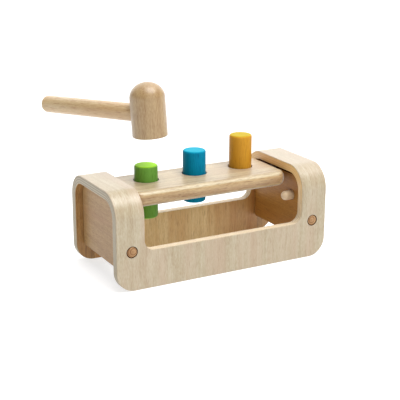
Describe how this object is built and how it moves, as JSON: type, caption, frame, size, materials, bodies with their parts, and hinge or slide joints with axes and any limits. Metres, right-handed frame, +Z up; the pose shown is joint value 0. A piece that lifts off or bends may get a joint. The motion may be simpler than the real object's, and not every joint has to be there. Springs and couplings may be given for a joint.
{
  "type": "toy pounding bench",
  "caption": "Child's wooden pounding bench: bent plywood frame on end panels, turning bar that holds round pegs in friction rings, and a loose mallet.",
  "frame": {"origin": "on the table at the middle of the front panel's lower edge, halfway through the plywood", "axes": "+X along the bench to the user's right when facing the front panel, +Y from the front panel to the back panel, +Z up"},
  "size_m": [0.25, 0.2124, 0.1971],
  "materials": {
    "bent_plywood": "clear matt lacquer, fine vertical grain",
    "end_panel_wood": "clear matt lacquer",
    "bar_wood": "clear matt lacquer, grain along the bar",
    "dowel_wood": "end grain, clear matt lacquer",
    "stop_dowel_wood": "clear matt lacquer",
    "mallet_head_wood": "clear matt lacquer, grain along the head",
    "mallet_handle_wood": "clear matt lacquer, grain along the handle",
    "green_stained_wood": "green stain under matt lacquer",
    "blue_stained_wood": "blue stain under matt lacquer",
    "yellow_stained_wood": "yellow stain under matt lacquer",
    "grip_rubber": "matt black",
    "washer": "dark brown fibre, matt"
  },
  "bodies": {
    "bench": {"plywood_shell": "bent_plywood", "left_end_panel": "end_panel_wood", "right_end_panel": "end_panel_wood", "front_left_dowel": "dowel_wood", "back_left_dowel": "dowel_wood", "front_right_dowel": "dowel_wood", "back_right_dowel": "dowel_wood", "left_stop_dowel": "stop_dowel_wood", "right_stop_dowel": "stop_dowel_wood", "left_pivot_dowel": "dowel_wood", "right_pivot_dowel": "dowel_wood", "left_pivot_washer": "washer", "right_pivot_washer": "washer"},
    "bar": {"pounding_bar": "bar_wood", "green_peg_grip_ring": "grip_rubber", "blue_peg_grip_ring": "grip_rubber", "yellow_peg_grip_ring": "grip_rubber"},
    "green_peg": {"green_peg": "green_stained_wood"},
    "blue_peg": {"blue_peg": "blue_stained_wood"},
    "yellow_peg": {"yellow_peg": "yellow_stained_wood"},
    "mallet": {"mallet_head": "mallet_head_wood", "mallet_handle": "mallet_handle_wood"}
  },
  "joints": [
    {"name": "bar_turn", "type": "hinge", "parent": "bench", "child": "bar", "pos_m": [0, 0.0585, 0.0843], "axis": [1, 0, 0], "continuous": true},
    {"name": "green_peg_slide", "type": "slide", "parent": "bar", "child": "green_peg", "axis": [0, 0, 1], "range_m": [-0.0163, 0.0247]},
    {"name": "blue_peg_slide", "type": "slide", "parent": "bar", "child": "blue_peg", "axis": [0, 0, 1], "range_m": [-0.0256, 0.0154]},
    {"name": "yellow_peg_slide", "type": "slide", "parent": "bar", "child": "yellow_peg", "axis": [0, 0, 1], "range_m": [-0.0361, 0.0049]},
    {"name": "mallet_lift", "type": "slide", "parent": "bench", "child": "mallet", "axis": [0, 0, 1], "range_m": [0, 0.06]}
  ]
}
